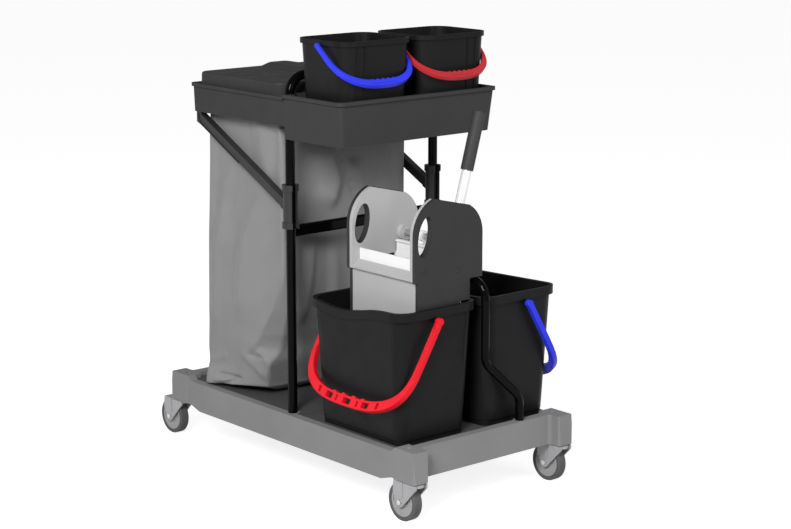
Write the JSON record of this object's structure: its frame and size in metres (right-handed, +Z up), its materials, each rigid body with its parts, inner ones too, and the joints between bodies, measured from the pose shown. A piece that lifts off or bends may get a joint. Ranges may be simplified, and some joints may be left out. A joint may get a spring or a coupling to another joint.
{
  "type": "janitor cart",
  "caption": "Wheeled cleaning cart with a moulded base, tube frame, lidded refuse bag, tray with lift-out buckets, mop buckets with bails and a lever wringer.",
  "frame": {"origin": "on the floor under the middle of the whole cart", "axes": "+X towards the mop bucket end, -Y the side of the wringer bucket, +Z up"},
  "size_m": [1.1104, 0.601, 1.1618],
  "materials": {
    "base_grey": "moulded, satin",
    "top_dark": "moulded, fine grain",
    "bucket_black": "moulded, satin",
    "bracket_dark": "moulded, satin",
    "tube_black": "gloss black coat",
    "bag_cloth": "coated woven cloth",
    "bail_red": "moulded, glossy",
    "bail_blue": "moulded, glossy",
    "wringer_grey": "moulded, satin",
    "cover_dark": "moulded, fine grain",
    "jaw_white": "moulded, smooth",
    "pole_bright": "brushed",
    "grip_dark": "moulded",
    "bare_steel": "zinc plated",
    "caster_grey": "pressed, grey coat",
    "hub_pale": "moulded",
    "tyre_grey": "solid grey rubber"
  },
  "bodies": {
    "cart": {"base_frame": "base_grey", "deck_panel": "base_grey", "caster_stems": "bare_steel", "upright_frame": "tube_black", "cross_bar": "tube_black", "bracket_right": "bracket_dark", "bracket_left": "bracket_dark", "bracket_screws": "bare_steel", "bag_frame": "top_dark", "lid_hinge_pins": "bare_steel", "refuse_bag": "bag_cloth", "upper_tray": "top_dark", "clamp_bolts": "bare_steel", "mop_bucket_right": "bucket_black", "wringer_stand": "tube_black", "stand_straps": "tube_black", "wringer_body": "wringer_grey", "side_cover_front": "cover_dark", "side_cover_rear": "cover_dark", "fixed_jaw": "jaw_white", "shaft_bushes": "wringer_grey"},
    "lid": {"bag_lid": "top_dark"},
    "mop_bail_right": {"mop_bail_right": "bail_red"},
    "mop_bucket_left": {"mop_bucket_left": "bucket_black"},
    "mop_bail_left": {"mop_bail_left": "bail_blue"},
    "small_bucket_right": {"small_bucket_right": "bucket_black"},
    "small_bail_right": {"small_bail_right": "bail_blue"},
    "small_bucket_left": {"small_bucket_left": "bucket_black"},
    "small_bail_left": {"small_bail_left": "bail_red"},
    "lever": {"wringer_shaft": "bare_steel", "press_cams": "jaw_white", "lever_socket": "cover_dark", "lever_pole": "pole_bright", "lever_grip": "grip_dark"},
    "press": {"press_plate": "jaw_white"},
    "caster_front_right": {"caster_fork_front_right": "caster_grey", "caster_axle_front_right": "bare_steel"},
    "wheel_front_right": {"caster_hub_front_right": "hub_pale", "caster_tyre_front_right": "tyre_grey"},
    "caster_front_left": {"caster_fork_front_left": "caster_grey", "caster_axle_front_left": "bare_steel"},
    "wheel_front_left": {"caster_hub_front_left": "hub_pale", "caster_tyre_front_left": "tyre_grey"},
    "caster_rear_right": {"caster_fork_rear_right": "caster_grey", "caster_axle_rear_right": "bare_steel"},
    "wheel_rear_right": {"caster_hub_rear_right": "hub_pale", "caster_tyre_rear_right": "tyre_grey"},
    "caster_rear_left": {"caster_fork_rear_left": "caster_grey", "caster_axle_rear_left": "bare_steel"},
    "wheel_rear_left": {"caster_hub_rear_left": "hub_pale", "caster_tyre_rear_left": "tyre_grey"}
  },
  "joints": [
    {"name": "swivel_front_right", "type": "hinge", "parent": "cart", "child": "caster_front_right", "pos_m": [0.53375, -0.262, 0.1], "axis": [0, 0, 1], "continuous": true},
    {"name": "wheel_front_right", "type": "hinge", "parent": "caster_front_right", "child": "wheel_front_right", "pos_m": [0.49375, -0.262, 0.05], "axis": [0, 1, 0], "continuous": true},
    {"name": "swivel_front_left", "type": "hinge", "parent": "cart", "child": "caster_front_left", "pos_m": [0.53375, 0.238, 0.1], "axis": [0, 0, 1], "continuous": true},
    {"name": "wheel_front_left", "type": "hinge", "parent": "caster_front_left", "child": "wheel_front_left", "pos_m": [0.49375, 0.238, 0.05], "axis": [0, 1, 0], "continuous": true},
    {"name": "swivel_rear_right", "type": "hinge", "parent": "cart", "child": "caster_rear_right", "pos_m": [-0.46525, -0.262, 0.1], "axis": [0, 0, 1], "continuous": true},
    {"name": "wheel_rear_right", "type": "hinge", "parent": "caster_rear_right", "child": "wheel_rear_right", "pos_m": [-0.50525, -0.262, 0.05], "axis": [0, 1, 0], "continuous": true},
    {"name": "swivel_rear_left", "type": "hinge", "parent": "cart", "child": "caster_rear_left", "pos_m": [-0.46525, 0.238, 0.1], "axis": [0, 0, 1], "continuous": true},
    {"name": "wheel_rear_left", "type": "hinge", "parent": "caster_rear_left", "child": "wheel_rear_left", "pos_m": [-0.50525, 0.238, 0.05], "axis": [0, 1, 0], "continuous": true},
    {"name": "lid_hinge", "type": "hinge", "parent": "cart", "child": "lid", "pos_m": [0.00825, -0.012, 1.032], "axis": [0, 1, 0], "range_deg": [0, 95]},
    {"name": "mop_bail_right_swing", "type": "hinge", "parent": "cart", "child": "mop_bail_right", "pos_m": [0.30175, -0.154, 0.4883], "axis": [-1, 0, 0], "range_deg": [0, 115]},
    {"name": "mop_bucket_left_lift", "type": "slide", "parent": "cart", "child": "mop_bucket_left", "axis": [0, 0.891, 0.454], "range_m": [0, 0.25]},
    {"name": "mop_bail_left_swing", "type": "hinge", "parent": "mop_bucket_left", "child": "mop_bail_left", "pos_m": [0.30175, 0.154, 0.4883], "axis": [1, 0, 0], "range_deg": [0, 125]},
    {"name": "small_bucket_right_lift", "type": "slide", "parent": "cart", "child": "small_bucket_right", "axis": [0, 0, 1], "range_m": [0, 0.25]},
    {"name": "small_bail_right_swing", "type": "hinge", "parent": "small_bucket_right", "child": "small_bail_right", "pos_m": [0.15425, -0.1358, 1.1483], "axis": [0, -1, 0], "range_deg": [0, 130]},
    {"name": "small_bucket_left_lift", "type": "slide", "parent": "cart", "child": "small_bucket_left", "axis": [0, 0, 1], "range_m": [0, 0.25]},
    {"name": "small_bail_left_swing", "type": "hinge", "parent": "small_bucket_left", "child": "small_bail_left", "pos_m": [0.15425, 0.1218, 1.1483], "axis": [0, -1, 0], "range_deg": [0, 130]},
    {"name": "lever_swing", "type": "hinge", "parent": "cart", "child": "lever", "pos_m": [0.34275, -0.045, 0.662], "axis": [-1, 0, 0], "range_deg": [0, 72], "stiffness_Nm_per_rad": 0.8, "springref_deg": -34.38},
    {"name": "press_slide", "type": "slide", "parent": "cart", "child": "press", "axis": [0, -1, 0], "range_m": [0, 0.045]}
  ],
  "couplings": [
    {"joint": "press_slide", "follows": "lever_swing", "m_per_rad": 0.0358}
  ]
}
